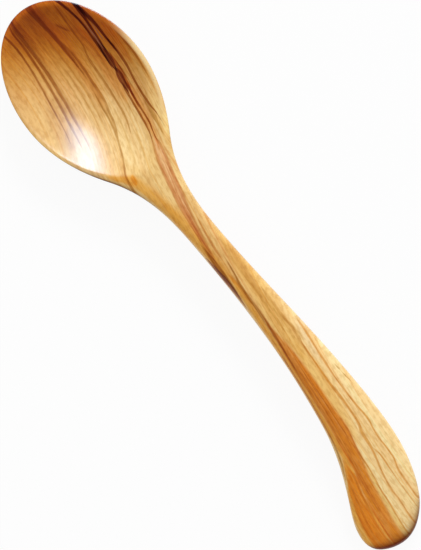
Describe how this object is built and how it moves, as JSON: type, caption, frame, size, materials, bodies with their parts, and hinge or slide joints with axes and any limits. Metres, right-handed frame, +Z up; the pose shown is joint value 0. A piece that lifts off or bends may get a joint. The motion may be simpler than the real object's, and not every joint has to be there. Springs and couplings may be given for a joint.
{
  "type": "wooden spoon",
  "caption": "Cooking spoon carved from one piece of olive wood, with a deep egg-shaped bowl and a handle that widens and bends sideways to a round end.",
  "frame": {"origin": "under the middle of the spoon's box, on the surface that it lies on", "axes": "+X from the bowl towards the handle's end, +Z up, out of the bowl's mouth"},
  "size_m": [0.3016, 0.0638, 0.0191],
  "materials": {
    "olive_wood": "oiled satin, honey ground with dark brown veins along the spoon"
  },
  "bodies": {
    "root": {"wooden_spoon": "olive_wood"}
  },
  "joints": []
}
